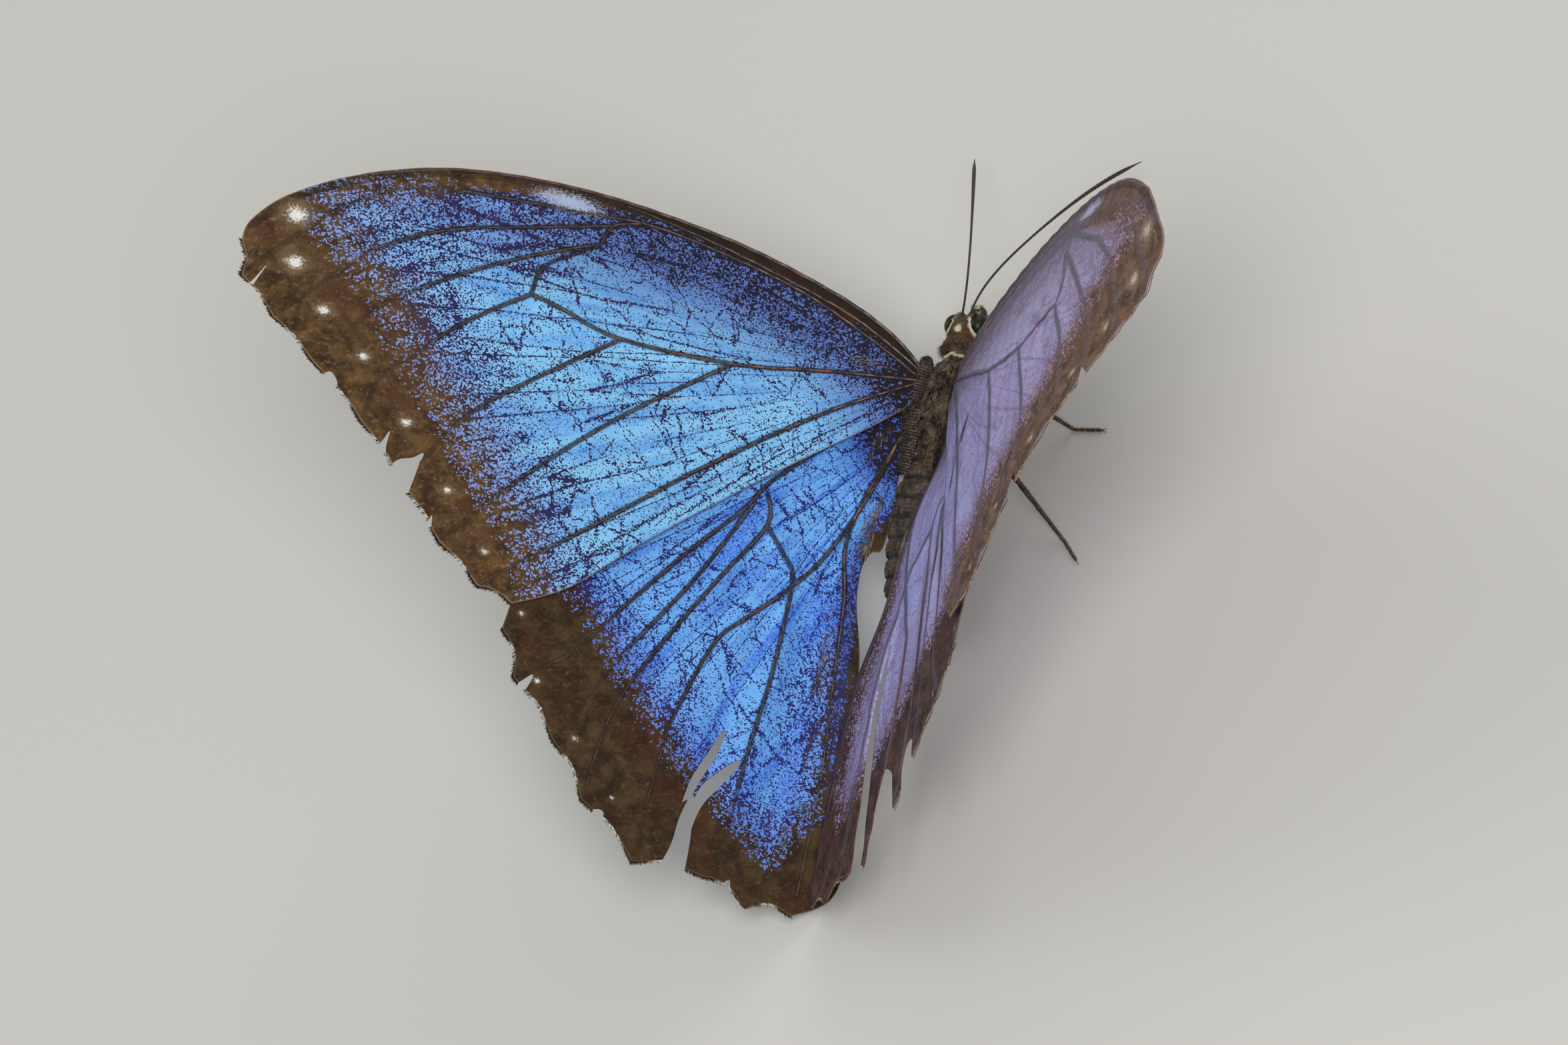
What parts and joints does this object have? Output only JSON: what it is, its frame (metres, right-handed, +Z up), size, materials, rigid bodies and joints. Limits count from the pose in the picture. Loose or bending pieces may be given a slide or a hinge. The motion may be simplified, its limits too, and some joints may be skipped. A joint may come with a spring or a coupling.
{
  "type": "blue morpho butterfly",
  "caption": "Still life-size butterfly with half-raised, worn blue wings, a hairy body, two feelers and folded forelegs, standing on its feet.",
  "frame": {"origin": "on the floor, under the middle of the whole butterfly's box", "axes": "+X towards the butterfly's left, -Y towards its head, +Z up"},
  "size_m": [0.1018, 0.0826, 0.053],
  "materials": {
    "wing": "thin scaled wing membrane, bright metallic blue with brown veins and brown margins",
    "trunk": "dark brown horny skin under short grey-brown hair",
    "eye": "glossy blue-black compound eye",
    "limb": "dark brown horny legs and feelers, matt"
  },
  "bodies": {
    "root": {"thorax": "trunk", "abdomen": "trunk", "head": "trunk", "eye_left": "eye", "antenna_left": "limb", "palp_left": "trunk", "leg_fore_left": "limb", "leg_mid_left": "limb", "leg_hind_left": "limb", "wing_fore_left": "wing", "wing_hind_left": "wing", "eye_right": "eye", "antenna_right": "limb", "palp_right": "trunk", "leg_fore_right": "limb", "leg_mid_right": "limb", "leg_hind_right": "limb", "wing_fore_right": "wing", "wing_hind_right": "wing"}
  },
  "joints": []
}
